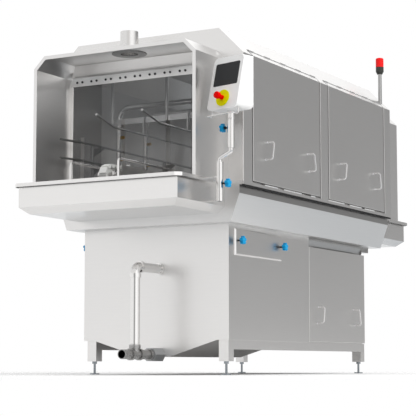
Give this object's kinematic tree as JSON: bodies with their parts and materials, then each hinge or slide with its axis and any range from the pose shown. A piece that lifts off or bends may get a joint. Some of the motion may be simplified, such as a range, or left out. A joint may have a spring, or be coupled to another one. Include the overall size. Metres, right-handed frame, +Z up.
{
  "type": "crate tunnel washer",
  "caption": "Stainless tunnel washer for crates with chain conveyor, hooded trays, strip curtains, gull-wing doors, wash tank and swivelling control box.",
  "frame": {"origin": "floor level under the middle of the tunnel", "axes": "+X towards the doors, +Y along the crate run from infeed to outfeed, +Z up"},
  "size_m": [1.4485, 3.236, 2.163],
  "materials": {
    "steel": "fine brushed stainless sheet",
    "tube": "polished stainless tube",
    "bright": "white satin coating",
    "glassy": "dark display glass",
    "yellow": "satin",
    "red": "gloss",
    "blue": "satin moulded",
    "lens": "tinted lens",
    "dark": "moulded",
    "white": "moulded conveyor plastic",
    "strip": "smoky clear strip",
    "brass": "turned",
    "grey": "grey coating",
    "iron": "painted casting"
  },
  "bodies": {
    "frame": {"tunnel_base": "steel", "tunnel_front_wall": "steel", "tunnel_rear_wall": "steel", "tunnel_left_wall": "steel", "tunnel_roof": "steel", "side_posts": "steel", "infeed_hood": "steel", "outfeed_hood": "steel", "infeed_tray": "steel", "outfeed_tray": "steel", "wash_tank": "steel", "machine_cabinet": "steel", "stand": "steel", "chain_trough": "steel", "curtain_rails": "steel", "exhaust_spigot": "steel", "hinge_rods": "tube", "levelling_feet": "tube", "post_socket": "tube", "beacon_pole": "tube", "crate_rails": "tube", "run_bars": "tube", "crate_guides": "tube", "hold_down": "tube", "spray_pipework": "tube", "overflow_pipe": "tube", "beacon_lens": "lens", "beacon_base": "dark", "conveyor_chain": "white", "spray_nozzles": "brass", "gearmotor": "grey", "drain_valve": "grey", "wash_pump": "iron"},
    "front_door": {"front_door": "steel", "front_door_bows": "tube"},
    "rear_door": {"rear_door": "steel", "rear_door_bows": "tube"},
    "service_panel": {"service_panel": "steel", "service_panel_bows": "tube"},
    "right_filter": {"right_filter_drawer": "steel"},
    "left_filter": {"left_filter_drawer": "steel"},
    "right_front_knob": {"right_front_filter_knob": "blue"},
    "right_rear_knob": {"right_rear_filter_knob": "blue"},
    "left_front_knob": {"left_front_filter_knob": "blue"},
    "left_rear_knob": {"left_rear_filter_knob": "blue"},
    "post_crank": {"crank": "tube"},
    "control_head": {"control_box": "bright", "screen": "glassy", "stop_collar": "yellow", "head_sleeve": "tube"},
    "stop_button": {"stop_button": "red"},
    "post_knob": {"post_knob": "blue"},
    "head_knob": {"head_knob": "blue"},
    "infeed_strips_centre": {"infeed_curtain_centre": "strip"},
    "infeed_strips_sides": {"infeed_curtain_sides": "strip"},
    "outfeed_strips": {"outfeed_curtain": "strip"},
    "idler": {"idler_sprocket": "white", "idler_shaft": "tube"},
    "drive": {"drive_sprocket": "white", "drive_shaft": "tube"}
  },
  "joints": [
    {"name": "front_door_lift", "type": "hinge", "parent": "frame", "child": "front_door", "pos_m": [0.60294, -0.511, 1.83594], "axis": [0, -1, 0], "range_deg": [0, 100]},
    {"name": "rear_door_lift", "type": "hinge", "parent": "frame", "child": "rear_door", "pos_m": [0.60294, 0.511, 1.83594], "axis": [0, -1, 0], "range_deg": [0, 100]},
    {"name": "service_panel_lift", "type": "hinge", "parent": "frame", "child": "service_panel", "pos_m": [0.48, 0.5, 0.787], "axis": [0, -1, 0], "range_deg": [0, 80]},
    {"name": "right_filter_pull", "type": "slide", "parent": "frame", "child": "right_filter", "axis": [1, 0, 0], "range_m": [0, 0.3]},
    {"name": "left_filter_pull", "type": "slide", "parent": "frame", "child": "left_filter", "axis": [-1, 0, 0], "range_m": [0, 0.3]},
    {"name": "right_front_knob_turn", "type": "hinge", "parent": "right_filter", "child": "right_front_knob", "pos_m": [0.536, -0.887, 0.76], "axis": [1, 0, 0], "continuous": true},
    {"name": "right_rear_knob_turn", "type": "hinge", "parent": "right_filter", "child": "right_rear_knob", "pos_m": [0.536, -0.353, 0.76], "axis": [1, 0, 0], "continuous": true},
    {"name": "left_front_knob_turn", "type": "hinge", "parent": "left_filter", "child": "left_front_knob", "pos_m": [-0.536, -0.887, 0.76], "axis": [1, 0, 0], "continuous": true},
    {"name": "left_rear_knob_turn", "type": "hinge", "parent": "left_filter", "child": "left_rear_knob", "pos_m": [-0.536, -0.353, 0.76], "axis": [1, 0, 0], "continuous": true},
    {"name": "post_swivel", "type": "hinge", "parent": "frame", "child": "post_crank", "pos_m": [0.62, -1.311, 1.05], "axis": [0, 0, 1], "range_deg": [-20, 20]},
    {"name": "head_swivel", "type": "hinge", "parent": "post_crank", "child": "control_head", "pos_m": [0.69, -1.311, 1.32], "axis": [0, 0, 1], "range_deg": [-75, 105]},
    {"name": "stop_press", "type": "slide", "parent": "control_head", "child": "stop_button", "axis": [0.2527, 0.9429, -0.2169], "range_m": [0, 0.006], "stiffness_N_per_m": 800, "springref_m": -0.003},
    {"name": "post_knob_turn", "type": "hinge", "parent": "frame", "child": "post_knob", "pos_m": [0.672, -1.311, 1.032], "axis": [1, 0, 0], "continuous": true},
    {"name": "head_knob_turn", "type": "hinge", "parent": "control_head", "child": "head_knob", "pos_m": [0.638, -1.311, 1.334], "axis": [1, 0, 0], "continuous": true},
    {"name": "infeed_strips_centre_swing", "type": "hinge", "parent": "frame", "child": "infeed_strips_centre", "pos_m": [0, -1.081, 1.712], "axis": [1, 0, 0], "range_deg": [0, 45]},
    {"name": "infeed_strips_sides_swing", "type": "hinge", "parent": "frame", "child": "infeed_strips_sides", "pos_m": [0, -1.081, 1.712], "axis": [1, 0, 0], "range_deg": [0, 20]},
    {"name": "outfeed_strips_swing", "type": "hinge", "parent": "frame", "child": "outfeed_strips", "pos_m": [0, 1.081, 1.712], "axis": [1, 0, 0], "range_deg": [0, 50]},
    {"name": "drive_turn", "type": "hinge", "parent": "frame", "child": "drive", "pos_m": [0, 1.46685, 1.103], "axis": [-1, 0, 0], "continuous": true, "deforming": ["conveyor_chain"]},
    {"name": "idler_turn", "type": "hinge", "parent": "frame", "child": "idler", "pos_m": [0, -1.46685, 1.103], "axis": [-1, 0, 0], "continuous": true}
  ],
  "couplings": [
    {"joint": "idler_turn", "follows": "drive_turn", "ratio": 1}
  ]
}
